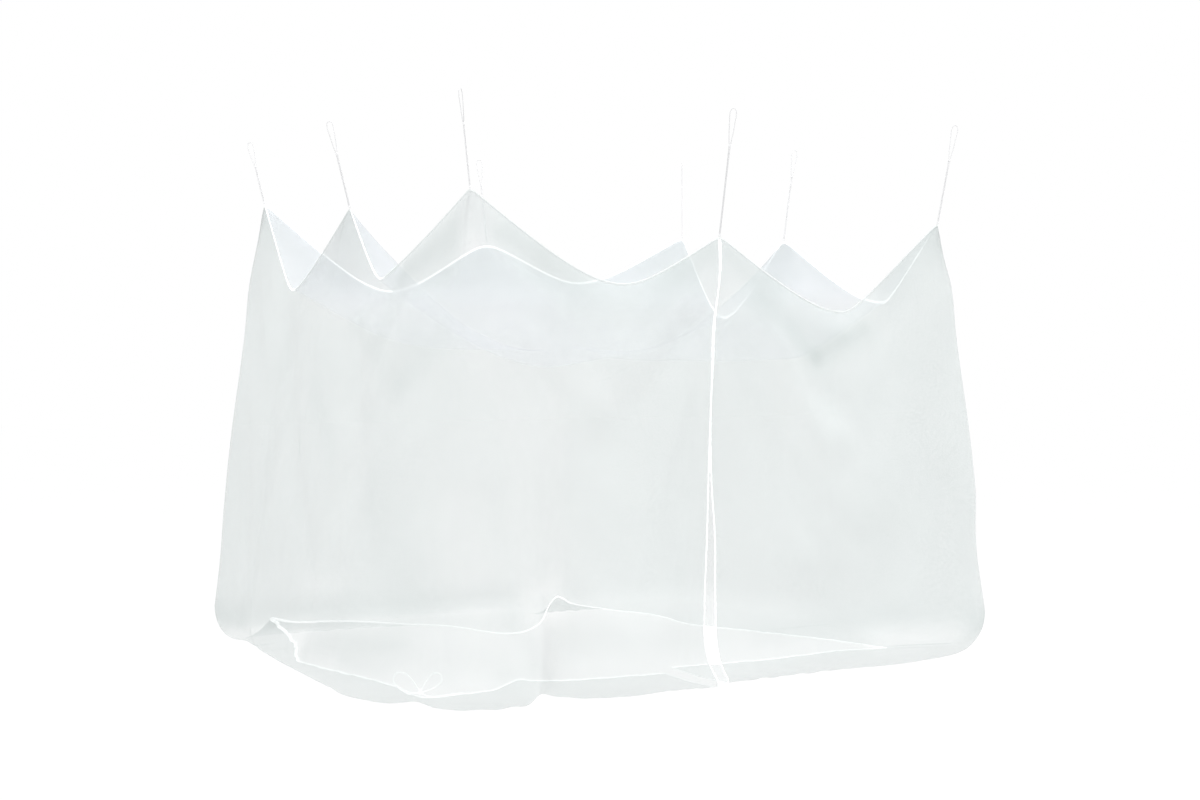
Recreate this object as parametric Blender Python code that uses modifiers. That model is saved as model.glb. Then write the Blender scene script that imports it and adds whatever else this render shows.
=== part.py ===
"""A rectangular net canopy hung by eight cord loops.

One roof panel, one long wall strip whose two ends meet as a door in the front side, binding
tape round the roof seam and down both door edges, a hanging loop at each corner and at the
middle of each side, and a drawcord in the foot hem, tied in a bow at the front left corner.

Shapes are worked out in the net's own frame: X runs along the front, Y to the back, heights
are above the foot, and the middle of the roof is at (0, 0). The parent empty moves that frame
so that the model's origin is where the hook bears in the loop over the door.
"""

import math
from collections import namedtuple

import bpy
import numpy as np
from mathutils import Vector

# Driving dimensions, in metres.
ROOF_LENGTH = 1.910
ROOF_WIDTH = 1.591
BELLY_HEIGHT = 1.076
NET_THICK = 0.0012
HEM_THICK = 0.0030
TAPE_THICK = 0.0024
TAPE_WIDE = 0.010
DOOR_TAPE_WIDE = 0.006
SEWN_GAP = 0.0003
SEAM_GAP = 0.0024
TAPE_GAP = 0.0004
CORD_RADIUS = 0.0015
CORD_TURN = 0.16
STRAND_APART = 0.0035
EYE_WIDE = 0.019

# The foot: the wall turns in over a round fold and runs on as a skirt to the hem.
FOLD_TALL = 1.15
FOLD_LEAST = 0.012
FLARE_EASE = 0.75
LEAN_EASE = 0.62
SKIRT_EASE = 2.0
CORNER_ROUNDS = 2
DOOR_REACH = 0.35

# Roof edge and roof belly.
ROOF_DROP_POWER = 3.0
SWAG_HEIGHT = 0.010
SWAG_PITCH = 0.42
SWAG_DEEPEN = 1.5
SWAG_FADE = 0.45
SPAN_METRES = 0.95

# Rows of the wall strip from the roof seam down, round the fold and in to the hem.
WALL_ROWS = 9
FOLD_ROWS = 3
SKIRT_ROWS = 3
LOOP_POINTS = 37
LOOP_DENSE = 1.7
BOW_POINTS = 48

# The hanging points, in the order of the wall strip: from the door to the left and round.
# x and y are shares of half the roof, height is the peak's, crest rounds it, lean is how far
# the eye stands from over its peak, turn is the eye's own heading in degrees.
Peak = namedtuple("Peak", "name x y height crest lean_x lean_y eye_height eye_long turn")
PEAKS = (
    Peak("front_middle", -0.013, -1.00, 1.446, 0.03, -0.010, -0.092, 1.864, 0.125, -33),
    Peak("front_left", -1.000, -1.00, 1.560, 0.02, -0.045, -0.020, 1.863, 0.110, 30),
    Peak("left_middle", -1.000, 0.07, 1.557, 0.02, -0.077, 0.000, 1.852, 0.115, -33),
    Peak("back_left", -1.000, 1.00, 1.622, 0.02, -0.041, 0.041, 1.858, 0.095, -33),
    Peak("back_middle", 0.000, 1.00, 1.499, 0.16, 0.000, 0.067, 1.853, 0.110, -33),
    Peak("back_right", 1.000, 1.00, 1.560, 0.04, 0.010, 0.016, 1.891, 0.110, 57),
    Peak("right_middle", 1.000, 0.12, 1.510, 0.05, 0.057, 0.000, 1.880, 0.110, -33),
    Peak("front_right", 1.000, -1.00, 1.527, 0.02, 0.044, -0.044, 1.881, 0.130, -33),
)

# The roof edge from each peak to the next: where it hangs lowest, how high it is there, how
# far it is drawn in, its number of facets, and how round it hangs before and after its low.
Span = namedtuple("Span", "low_at low_height drawn facets round_before round_after")
SPANS = (
    Span(0.393, 1.285, 0.020, 12, 0.35, 0.35),
    Span(0.745, 1.312, 0.015, 10, 0.04, 0.30),
    Span(0.675, 1.297, 0.010, 9, 0.12, 0.20),
    Span(0.538, 1.309, 0.020, 12, 0.35, 0.35),
    Span(0.434, 1.360, 0.015, 11, 0.35, 0.35),
    Span(0.446, 1.220, 0.010, 9, 0.35, 0.35),
    Span(0.685, 1.256, 0.015, 10, 0.35, 0.12),
    Span(0.438, 1.209, 0.020, 11, 0.13, 0.35),
)

# The foot, by place along the strip (whole numbers are the peaks): the outside of the fold,
# the height of its underside, the hem, and how far in the fold turns.
Station = namedtuple("Station", "at fold_x fold_y sole hem_x hem_y lift turn")
STATIONS = (
    Station(0.00, -0.222, -1.020, -0.006, -0.170, -0.700, 0.000, 0.028),
    Station(0.25, -0.370, -1.045, -0.002, -0.330, -0.680, 0.000, 0.055),
    Station(0.45, -0.535, -1.050, -0.004, -0.490, -0.655, 0.000, 0.058),
    Station(0.62, -0.700, -0.990, 0.000, -0.645, -0.650, 0.010, 0.055),
    Station(0.70, -0.765, -0.925, 0.008, -0.700, -0.645, 0.018, 0.045),
    Station(0.79, -0.860, -1.010, -0.002, -0.790, -0.668, 0.000, 0.050),
    Station(0.90, -1.000, -1.020, -0.003, -0.925, -0.698, 0.000, 0.055),
    Station(1.00, -1.125, -0.945, -0.002, -1.065, -0.712, 0.004, 0.060),
    Station(1.06, -1.150, -0.835, 0.006, -1.085, -0.665, 0.006, 0.050),
    Station(1.14, -1.228, -0.745, -0.003, -1.068, -0.600, 0.000, 0.050),
    Station(1.23, -1.280, -0.610, -0.003, -1.045, -0.510, 0.000, 0.055),
    Station(1.45, -1.272, -0.390, 0.000, -1.040, -0.330, 0.000, 0.055),
    Station(1.72, -1.240, -0.125, 0.000, -1.058, -0.150, 0.000, 0.055),
    Station(2.00, -1.205, 0.130, 0.000, -1.078, 0.080, 0.000, 0.055),
    Station(2.12, -1.190, 0.230, 0.000, -1.078, 0.200, 0.000, 0.055),
    Station(2.30, -1.168, 0.370, 0.002, -1.000, 0.400, 0.004, 0.060),
    Station(2.60, -1.132, 0.580, 0.002, -0.935, 0.575, 0.015, 0.070),
    Station(2.85, -1.118, 0.775, 0.002, -0.955, 0.675, 0.070, 0.085),
    Station(3.00, -1.108, 0.912, 0.000, -0.970, 0.695, 0.088, 0.095),
    Station(3.15, -0.930, 0.950, 0.000, -0.893, 0.686, 0.070, 0.075),
    Station(3.45, -0.645, 0.948, 0.000, -0.660, 0.686, 0.055, 0.060),
    Station(3.75, -0.300, 0.942, 0.000, -0.300, 0.663, 0.015, 0.060),
    Station(4.15, 0.165, 0.938, 0.000, 0.152, 0.630, 0.000, 0.060),
    Station(4.25, 0.290, 0.938, 0.000, 0.245, 0.686, 0.080, 0.060),
    Station(4.42, 0.450, 0.938, 0.000, 0.355, 0.715, 0.050, 0.060),
    Station(4.65, 0.685, 0.938, 0.000, 0.535, 0.725, 0.012, 0.060),
    Station(4.88, 0.945, 0.930, 0.000, 0.605, 0.705, 0.000, 0.070),
    Station(5.00, 1.085, 0.880, 0.000, 0.630, 0.655, 0.000, 0.080),
    Station(5.20, 1.140, 0.650, 0.000, 0.640, 0.500, 0.000, 0.070),
    Station(5.50, 1.145, 0.355, 0.000, 0.600, 0.285, 0.000, 0.065),
    Station(6.00, 1.150, -0.015, 0.000, 0.680, -0.015, 0.000, 0.065),
    Station(6.60, 1.158, -0.480, 0.000, 0.795, -0.430, 0.000, 0.070),
    Station(6.88, 1.160, -0.775, 0.006, 0.818, -0.630, 0.000, 0.090),
    Station(7.00, 1.092, -0.895, 0.010, 0.800, -0.685, 0.004, 0.100),
    Station(7.12, 0.965, -0.985, 0.006, 0.730, -0.645, 0.000, 0.080),
    Station(7.30, 0.710, -1.022, 0.000, 0.650, -0.620, 0.000, 0.060),
    Station(7.60, 0.340, -1.015, 0.000, 0.325, -0.645, 0.000, 0.060),
    Station(8.00, -0.130, -1.000, 0.000, -0.075, -0.610, 0.000, 0.028),
)

# The two edges that meet at the door, by height: together to waist height, then apart.
Door = namedtuple("Door", "height left right")
DOOR = (
    Door(-0.020, -0.160, -0.105),
    Door(0.010, -0.172, -0.122),
    Door(0.050, -0.198, -0.150),
    Door(0.120, -0.218, -0.167),
    Door(0.250, -0.211, -0.163),
    Door(0.450, -0.184, -0.148),
    Door(0.650, -0.158, -0.144),
    Door(0.800, -0.137, -0.135),
    Door(0.910, -0.120, -0.120),
    Door(1.030, -0.101, -0.101),
    Door(1.130, -0.086, -0.086),
    Door(1.250, -0.056, -0.056),
    Door(1.350, -0.030, -0.030),
    Door(1.446, -0.012, -0.012),
)

# The main creases of the walls, from one place and height to another; a trough has depth
# below nothing and a ridge above.
Crease = namedtuple("Crease", "at_a height_a at_b height_b half_width rise")
CREASES = (
    Crease(0.14, 1.14, 0.75, 0.50, 0.090, -0.022),
    Crease(0.06, 1.30, 0.50, 0.90, 0.080, 0.016),
    Crease(0.93, 1.30, 0.52, 0.90, 0.080, 0.014),
    Crease(0.90, 0.60, 0.95, 0.12, 0.070, -0.024),
    Crease(1.06, 1.38, 1.38, 0.95, 0.080, 0.016),
    Crease(2.50, 1.08, 1.72, 0.26, 0.090, -0.024),
    Crease(1.95, 1.30, 1.10, 0.32, 0.090, -0.018),
    Crease(2.80, 1.30, 2.55, 0.20, 0.080, 0.018),
    Crease(3.10, 1.30, 3.50, 0.80, 0.090, 0.016),
    Crease(3.90, 1.25, 3.60, 0.30, 0.090, -0.020),
    Crease(4.10, 1.25, 4.45, 0.70, 0.090, 0.018),
    Crease(5.08, 1.30, 5.40, 0.50, 0.090, -0.020),
    Crease(5.95, 1.25, 5.60, 0.60, 0.090, 0.018),
    Crease(6.10, 1.25, 6.60, 0.45, 0.090, -0.018),
    Crease(7.86, 1.18, 7.58, 0.78, 0.080, 0.022),
    Crease(7.58, 0.78, 7.65, 0.40, 0.080, 0.020),
    Crease(7.10, 1.25, 7.40, 0.85, 0.080, 0.014),
    Crease(7.00, 1.30, 7.00, 0.60, 0.150, 0.022),
    Crease(2.96, 1.35, 2.95, 0.50, 0.150, 0.008),
)

# The bow, seen from the front left: across, up and towards the viewer, in millimetres.
BOW_AT = Vector((-1.056, -0.655, 0.010))
BOW_ACROSS = Vector((0.8415, -0.5400, 0.0))
BOW_TOWARDS = Vector((-0.5400, -0.8415, 0.0))
BOW_ROUTE = (
    (0, 0, 4.2), (26, 8, 4.2), (52, 20, 3.6), (68, 40, 2.6), (62, 58, 1.6), (42, 60, 1.0),
    (24, 42, 0.6), (10, 20, 0.3), (0, 3, 0.0), (-16, -2, -0.6), (-42, 4, -1.6), (-70, 18, -2.2),
    (-84, 40, -2.6), (-74, 58, -3.0), (-50, 60, -3.4), (-28, 42, -3.7), (-12, 20, -4.0),
    (0, 2, -4.2),
)
BOW_LEFT_AT = 1.10
BOW_RIGHT_AT = 0.90
BOW_HEM_REACH = 0.0020
KNOT_RADIUS = 0.0084


def clear_scene():
    """Remove whatever the file holds, so that the model starts from nothing."""
    for old in list(bpy.data.objects):
        bpy.data.objects.remove(old, do_unlink=True)


def make_material(name, colour, roughness, alpha=1.0):
    """A plain finish for one kind of cloth or cord."""
    material = bpy.data.materials.new(name)
    material.use_nodes = True
    shader = material.node_tree.nodes["Principled BSDF"]
    shader.inputs["Base Color"].default_value = (*colour, 1.0)
    shader.inputs["Roughness"].default_value = roughness
    shader.inputs["Metallic"].default_value = 0.0
    shader.inputs["Alpha"].default_value = alpha
    return material


def smooth(knots, values, at):
    """The cubic through all values, whose slope at a knot is that of its neighbours."""
    slopes = np.gradient(values, knots, axis=0)
    left = np.clip(np.searchsorted(knots, at, side="right") - 1, 0, len(knots) - 2)
    width = (knots[left + 1] - knots[left])[:, None]
    part = (at - knots[left])[:, None] / width
    start = (1 + 2 * part) * (1 - part) ** 2
    start_slope = part * (1 - part) ** 2
    end_slope = part ** 2 * (part - 1)
    return (start * values[left] + (1 - start) * values[left + 1]
            + width * (start_slope * slopes[left] + end_slope * slopes[left + 1]))


def peak_point(peak):
    """Where the roof seam is carried at one peak."""
    return np.array([peak.x * ROOF_LENGTH / 2, peak.y * ROOF_WIDTH / 2, peak.height])


def edge_of_span(index):
    """The roof edge from one peak to the next: two flanks, straight at the peaks, that meet
    in a rounded low, with the whole edge drawn in a little."""
    span = SPANS[index]
    start, end = PEAKS[index], PEAKS[(index + 1) % len(PEAKS)]
    share = np.linspace(0, 1, span.facets + 1)
    falling = share < span.low_at
    run = np.where(falling, 1 - share / span.low_at, (share - span.low_at) / (1 - span.low_at))
    top = np.where(falling, start.height, end.height)
    crest = np.where(falling, start.crest, end.crest)
    run = (np.hypot(1, crest) - np.hypot(1 - run, crest)) / (np.hypot(1, crest) - crest)
    bend = np.where(falling, span.round_before, span.round_after)
    rise = (np.hypot(run, bend) - bend) / (np.hypot(1, bend) - bend)
    first, last = peak_point(start), peak_point(end)
    line = first + share[:, None] * (last - first)
    line[:, 2] = span.low_height + (top - span.low_height) * rise
    along = (last - first)[:2] / np.linalg.norm((last - first)[:2])
    inward = np.array([along[1], -along[0]])
    line[:, :2] += 4 * span.drawn * (share * (1 - share))[:, None] * inward
    return line


def strip_places():
    """Where the columns of the strip are, counted in spans from the door."""
    places = [index + np.arange(span.facets) / span.facets for index, span in enumerate(SPANS)]
    return np.append(np.concatenate(places), len(SPANS))


def seam_line():
    """The whole roof seam, from the door peak round and back to it."""
    lines = [edge_of_span(index) for index in range(len(SPANS))]
    return np.concatenate([line[:-1] for line in lines] + [lines[-1][-1:]])


def grown(points, outward):
    """Points of the seam moved outward from the middle of the roof."""
    moved = points.copy()
    moved[..., 0] *= 1 + outward / (ROOF_LENGTH / 2)
    moved[..., 1] *= 1 + outward / (ROOF_WIDTH / 2)
    return moved


def crease_rise(places, heights):
    """How far the creases stand out: a round ridge or trough about each crease's line."""
    total = np.zeros(np.broadcast(places, heights).shape)
    for crease in CREASES:
        start = np.array([crease.at_a * SPAN_METRES, crease.height_a])
        line = np.array([crease.at_b * SPAN_METRES, crease.height_b]) - start
        across = places * SPAN_METRES - start[0]
        down = heights - start[1]
        share = np.clip((across * line[0] + down * line[1]) / line.dot(line), 0, 1)
        gap = np.hypot(across - share * line[0], down - share * line[1])
        total += crease.rise * np.exp(-(gap / crease.half_width) ** 2)
    return total


def swag_rise(places, edge_heights, heights):
    """The hollows that hang under each low of the edge, as waves that run parallel to the
    edge, grow deeper towards its low and die out downwards."""
    shares = places % 1.0
    spans = np.minimum(places.astype(int), len(SPANS) - 1)
    chord = np.array([peak.height for peak in PEAKS] + [PEAKS[0].height])
    level = chord[spans] * (1 - shares) + chord[spans + 1] * shares
    low = np.array([span.low_height for span in SPANS])[spans]
    sag = np.clip((level - edge_heights) / (level - low + SEWN_GAP), 0, 1)
    below = (edge_heights - heights) / (1 + SWAG_DEEPEN * sag)
    wave = np.sin(2 * math.pi * below / (SWAG_PITCH / 2))
    return SWAG_HEIGHT * sag * wave * np.exp(-below / SWAG_FADE)


def foot_lines(places):
    """The fold, the hem and the fold's turn at each place."""
    knots = np.array([station.at for station in STATIONS])
    values = np.array([station[1:] for station in STATIONS])
    foot = smooth(knots, values, places)
    return foot[:, :3], foot[:, 3:6], foot[:, 6]


def strip_surface(places, tops):
    """The wall strip as rows of points: down from the seam, out along the flare with the
    corners growing round, round the fold through a quarter ellipse, and in along the skirt
    to the hem."""
    fold, hem, turn = foot_lines(places)
    inward = hem[:, :2] - fold[:, :2]
    inward = inward / np.linalg.norm(inward, axis=1)[:, None]
    rounded = tops[:, :2].copy()
    for _ in range(CORNER_ROUNDS):
        rounded[1:-1] = (rounded[:-2] + 2 * rounded[1:-1] + rounded[2:]) / 4
    round_tall = FOLD_LEAST + FOLD_TALL * turn
    knee = fold[:, 2] + round_tall
    rows = []
    for share in np.linspace(0, 1, WALL_ROWS + 1) ** 1.15:
        height = tops[:, 2] + share * (knee - tops[:, 2])
        held = min(1.0, share / 0.15)
        rise = held * (crease_rise(places, height) + swag_rise(places, tops[:, 2], height))
        start = tops[:, :2] + (rounded - tops[:, :2]) * math.sqrt(share)
        out = fold[:, :2] - start
        flare = (out * inward).sum(axis=1)[:, None] * inward
        plan = (start + flare * share ** FLARE_EASE + (out - flare) * share ** LEAN_EASE
                - inward * rise[:, None])
        rows.append(np.column_stack([plan, height]))
    knee_rise = crease_rise(places, knee)[:, None]
    for share in np.linspace(0, 1, FOLD_ROWS + 1)[1:]:
        angle = share * math.pi / 2
        plan = (fold[:, :2] + inward * (turn * (1 - math.cos(angle)))[:, None]
                - inward * knee_rise * (1 - share))
        rows.append(np.column_stack([plan, fold[:, 2] + round_tall * (1 - math.sin(angle))]))
    under = fold[:, :2] + inward * turn[:, None]
    for share in np.linspace(0, 1, SKIRT_ROWS + 1)[1:]:
        plan = under + share * (hem[:, :2] - under)
        rows.append(np.column_stack([plan, fold[:, 2] + share ** SKIRT_EASE
                                     * (hem[:, 2] - fold[:, 2])]))
    return door_drawn(places, np.array(rows))


def door_drawn(places, strip):
    """The strip with its two ends drawn along the front to where the door's edges hang. The
    pull dies out along the strip, and along the skirt."""
    knots = np.array([row.height for row in DOOR])
    fade = np.ones(len(strip))
    fade[-SKIRT_ROWS:] = 1 - np.linspace(0, 1, SKIRT_ROWS + 1)[1:]
    for end, side, edge in ((0, -1, "left"), (-1, 1, "right")):
        values = np.array([[getattr(row, edge)] for row in DOOR])
        target = smooth(knots, values, np.clip(strip[:, end, 2], knots[0], knots[-1]))[:, 0]
        pull = fade * (target + side * (DOOR_TAPE_WIDE + 2 * SEWN_GAP) - strip[:, end, 0])
        near = np.clip(1 - abs(places - places[end]) / DOOR_REACH, 0, 1) ** 2
        strip[..., 0] += pull[:, None] * near
    return strip


def strip_tops(seam):
    """The strip's upper edge, under the tape, with both ends short of the door peak by the
    width of their door tape."""
    tops = seam.copy()
    back_off = DOOR_TAPE_WIDE + 2 * SEWN_GAP
    for end, inner in ((0, 1), (-1, -2)):
        step = seam[inner] - seam[end]
        tops[end] = seam[end] + step * back_off / np.linalg.norm(step[:2])
    tops[:, 2] -= TAPE_WIDE / 2 + SEAM_GAP
    return tops


def roof_surface(seam):
    """The roof as a grid between its four edges. Each edge's height reaches into the roof
    with a share that dies out as a power of the distance from it, so that the peaks draw
    ridges and the middle hangs as a belly."""
    first = np.cumsum([0] + [span.facets for span in SPANS])
    front = np.concatenate([seam[first[0]:first[1] + 1][::-1][:-1],
                            seam[first[7]:first[8] + 1][::-1]])
    back = seam[first[3]:first[5] + 1]
    left = seam[first[1]:first[3] + 1]
    right = seam[first[5]:first[7] + 1][::-1]
    across = np.linspace(0, 1, len(front))[None, :, None]
    deep = np.linspace(0, 1, len(left))[:, None, None]
    grid = ((1 - deep) * front[None] + deep * back[None]
            + (1 - across) * left[:, None] + across * right[:, None]
            - (1 - deep) * ((1 - across) * front[0] + across * front[-1])
            - deep * ((1 - across) * back[0] + across * back[-1]))
    near = 1 - np.clip(grid[..., 1] / ROOF_WIDTH + 0.5, 0, 1)
    west = 1 - np.clip(grid[..., 0] / ROOF_LENGTH + 0.5, 0, 1)
    near[0], near[-1], west[:, 0], west[:, -1] = 1, 0, 1, 0
    power = ROOF_DROP_POWER
    front_share, back_share = near ** power, (1 - near) ** power
    left_share, right_share = west ** power, (1 - west) ** power

    def height_over(floor):
        edges = (front_share * (front[None, :, 2] - floor) + back_share * (back[None, :, 2] - floor)
                 + left_share * (left[:, None, 2] - floor)
                 + right_share * (right[:, None, 2] - floor))
        corners = (front_share * (left_share * (front[0, 2] - floor)
                                  + right_share * (front[-1, 2] - floor))
                   + back_share * (left_share * (back[0, 2] - floor)
                                   + right_share * (back[-1, 2] - floor)))
        return floor + edges - corners

    middle = (len(left) // 2, len(front) // 2)
    at_zero, at_one = height_over(0.0)[middle], height_over(1.0)[middle]
    grid[..., 2] = height_over((BELLY_HEIGHT - at_zero) / (at_one - at_zero))
    return grown(grid, -(TAPE_THICK / 2 + NET_THICK))


def grid_faces(rows, columns, joined=False):
    """Quads of a grid whose points run along its rows; joined closes each row on itself."""
    last = columns if joined else columns - 1
    return [(row * columns + column, row * columns + (column + 1) % columns,
             (row + 1) * columns + (column + 1) % columns, (row + 1) * columns + column)
            for row in range(rows - 1) for column in range(last)]


def add_sheet(name, surface, thick, material, joined=False, hem_thick=None):
    """One sheet of cloth: an open grid with its thickness, thicker in the hem's last row."""
    rows, columns = surface.shape[:2]
    mesh = bpy.data.meshes.new(name)
    mesh.from_pydata(surface.reshape(-1, 3).tolist(), [], grid_faces(rows, columns, joined))
    mesh.materials.append(material)
    sheet = bpy.data.objects.new(name, mesh)
    solid = sheet.modifiers.new("thickness", "SOLIDIFY")
    solid.thickness = thick
    solid.offset = 0.0
    solid.use_even_offset = True
    if hem_thick:
        group = sheet.vertex_groups.new(name="hem")
        group.add(list(range((rows - 1) * columns, rows * columns)), 1.0, "REPLACE")
        solid.vertex_group = group.name
        solid.thickness = hem_thick
        solid.thickness_vertex_group = thick / hem_thick
    mesh.shade_smooth()
    return sheet


def add_cord(name, points, material):
    """A round cord along a smooth route, with closed ends. Its facets turn a little from point
    to point, as the strands of a laid cord do."""
    curve = bpy.data.curves.new(name, "CURVE")
    curve.dimensions = "3D"
    curve.bevel_depth = CORD_RADIUS
    curve.bevel_resolution = 2
    curve.use_fill_caps = True
    spline = curve.splines.new("POLY")
    spline.points.add(len(points) - 1)
    for place, (target, point) in enumerate(zip(spline.points, points)):
        target.co = (*point, 1.0)
        target.tilt = place * CORD_TURN
    curve.materials.append(material)
    return bpy.data.objects.new(name, curve)


def along_route(route, count, dense=1.0):
    """Points read from the smooth curve through a route's own points: at even steps, or with
    dense over 1, in steps that are shorter towards the middle of the route."""
    route = np.asarray(route, dtype=float)
    knots = np.append(0, np.cumsum(np.linalg.norm(np.diff(route, axis=0), axis=1)))
    steps = np.linspace(-1, 1, count)
    steps = np.sign(steps) * abs(steps) ** dense
    return smooth(knots, route, knots[-1] * (1 + steps) / 2)


def loop_eye(peak):
    """The top of a loop's eye, in the net's frame."""
    point = peak_point(peak)
    return np.array([point[0] + peak.lean_x, point[1] + peak.lean_y, peak.eye_height])


def loop_route(peak):
    """A hanging loop: up from the seam as two strands side by side, open in a long eye, round
    its top and back down. The eye's half width grows as a half sine up to its round top."""
    foot = peak_point(peak) + np.array([0, 0, TAPE_WIDE / 2 + SEWN_GAP])
    top = loop_eye(peak)
    leaning = np.linalg.norm((top - foot)[:2]) / np.linalg.norm(top - foot)
    foot[2] += CORD_RADIUS * leaning
    length = np.linalg.norm(top - foot)
    rise = (top - foot) / length
    heading = math.radians(peak.turn)
    side = np.array([math.cos(heading), math.sin(heading), 0.0])
    side = side - rise * side.dot(rise)
    side = side / np.linalg.norm(side)
    bend = EYE_WIDE / 2
    throat = length - peak.eye_long
    half = STRAND_APART / 2
    flank = [(0.0, half), (throat * 0.5, half),
             (throat - 0.018, half + 0.0002), (throat, half + 0.0004),
             (throat + peak.eye_long * 0.3, half + (bend - half) * 0.55),
             (throat + peak.eye_long * 0.6, half + (bend - half) * 0.90),
             (length - bend, bend)]
    arc = [(length - bend + bend * math.sin(angle), bend * math.cos(angle))
           for angle in np.radians([36, 72])]
    up = flank + arc
    down = [(height, -out) for height, out in reversed(up)]
    return [foot + rise * height + side * out for height, out in up + [(length, 0.0)] + down]


def bow_route():
    """The drawcord outside the hem: from the hem's left slit, round both ears of the bow and
    into the hem's right slit."""
    ends = []
    for place in (BOW_LEFT_AT, BOW_RIGHT_AT):
        fold, hem, _ = foot_lines(np.array([place]))
        inward = (hem - fold)[0, :2] / np.linalg.norm((hem - fold)[0, :2])
        reach = CORD_RADIUS + BOW_HEM_REACH
        ends.append(Vector((*(hem[0, :2] + inward * reach), hem[0, 2] + CORD_RADIUS)))
    ears = [BOW_AT + (BOW_ACROSS * across + Vector((0, 0, up)) + BOW_TOWARDS * towards) / 1000
            for across, up, towards in BOW_ROUTE]
    return [ends[0]] + ears + [ends[1]]


def add_knot(material):
    """The drawcord's knot: a ring of cord drawn round the strands where they cross."""
    bpy.ops.mesh.primitive_torus_add(
        major_segments=14, minor_segments=8, major_radius=KNOT_RADIUS, minor_radius=CORD_RADIUS,
        location=BOW_AT + Vector((0, 0, 0.001)))
    knot = bpy.context.object
    knot.name = knot.data.name = "drawcord_knot"
    knot.rotation_mode = "QUATERNION"
    knot.rotation_quaternion = BOW_ACROSS.to_track_quat("Z", "Y")
    knot.data.materials.append(material)
    knot.data.shade_smooth()
    for old in knot.users_collection:
        old.objects.unlink(knot)
    return knot


def door_tape(strip, end, inner):
    """The tape on one end of the strip: it carries the cloth on, square to its edge."""
    edge = strip[:, end]
    beyond = edge - strip[:, inner]
    beyond = beyond / np.linalg.norm(beyond, axis=1)[:, None]
    down = np.gradient(edge, axis=0)
    down = down / np.linalg.norm(down, axis=1)[:, None]
    beyond[1:] -= (beyond[1:] * down[1:]).sum(axis=1)[:, None] * down[1:]
    beyond = beyond / np.linalg.norm(beyond, axis=1)[:, None]
    return np.stack([edge + beyond * TAPE_GAP, edge + beyond * (TAPE_GAP + DOOR_TAPE_WIDE)], 1)


def seam_tape(seam):
    """The tape round the roof seam: a band that stands over the seam's line."""
    lift = np.array([0, 0, TAPE_WIDE / 2])
    return np.stack([seam[:-1] - lift, seam[:-1] + lift])


def build():
    """Make every piece and hang it from the frame's empty."""
    clear_scene()
    netting = make_material("netting", (0.78, 0.81, 0.80), 0.75, 0.40)
    tape = make_material("binding_tape", (0.90, 0.92, 0.92), 0.60)
    cord = make_material("cord", (0.84, 0.85, 0.85), 0.65)
    seam = seam_line()
    strip = strip_surface(strip_places(), strip_tops(seam))
    pieces = [
        add_sheet("roof", roof_surface(seam), NET_THICK, netting),
        add_sheet("walls", strip, NET_THICK, netting, hem_thick=HEM_THICK),
        add_sheet("roof_binding", seam_tape(seam), TAPE_THICK, tape, joined=True),
        add_sheet("door_binding_left", door_tape(strip, 0, 1), TAPE_THICK, tape),
        add_sheet("door_binding_right", door_tape(strip, -1, -2), TAPE_THICK, tape),
        add_cord("drawcord_bow", along_route(bow_route(), BOW_POINTS), cord),
        add_knot(cord),
    ]
    for peak in PEAKS:
        route = along_route(loop_route(peak), LOOP_POINTS, LOOP_DENSE)
        pieces.append(add_cord("loop_" + peak.name, route, cord))

    parts = bpy.data.collections.new("mosquito_net_canopy")
    bpy.context.scene.collection.children.link(parts)
    frame = bpy.data.objects.new("canopy_frame", None)
    frame.location = -Vector(loop_eye(PEAKS[0])) + Vector((0, 0, CORD_RADIUS))
    parts.objects.link(frame)
    for piece in pieces:
        parts.objects.link(piece)
        piece.parent = frame


build()
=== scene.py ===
"""Looks of a rectangular bed net: netting, binding tapes, a drawn-in foot hem and its cords.

Every piece is worked out in the net's own frame, where X runs along the front, Y to the back,
heights are above the foot and the middle of the roof is at (0, 0), and is moved as a whole by
PLACE, so that the origin is where the hook bears in the loop over the door.
"""

import math
from collections import namedtuple

import bpy
import numpy as np
from mathutils import Euler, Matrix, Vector


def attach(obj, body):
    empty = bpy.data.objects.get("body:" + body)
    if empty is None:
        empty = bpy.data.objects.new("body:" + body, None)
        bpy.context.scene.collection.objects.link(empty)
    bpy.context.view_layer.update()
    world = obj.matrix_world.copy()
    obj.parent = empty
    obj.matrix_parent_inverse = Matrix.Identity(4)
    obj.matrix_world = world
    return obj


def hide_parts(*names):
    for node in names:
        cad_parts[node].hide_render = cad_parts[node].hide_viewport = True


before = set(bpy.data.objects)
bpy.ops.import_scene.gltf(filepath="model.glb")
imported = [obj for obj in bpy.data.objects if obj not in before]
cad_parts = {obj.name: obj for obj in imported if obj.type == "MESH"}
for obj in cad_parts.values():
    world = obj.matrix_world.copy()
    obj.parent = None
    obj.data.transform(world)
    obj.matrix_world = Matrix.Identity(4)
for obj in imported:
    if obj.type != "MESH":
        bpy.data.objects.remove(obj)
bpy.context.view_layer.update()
scene = bpy.context.scene

# ----------
# The net's sizes in metres, and its powers, shares and counts: the same as those of its solids.

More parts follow.
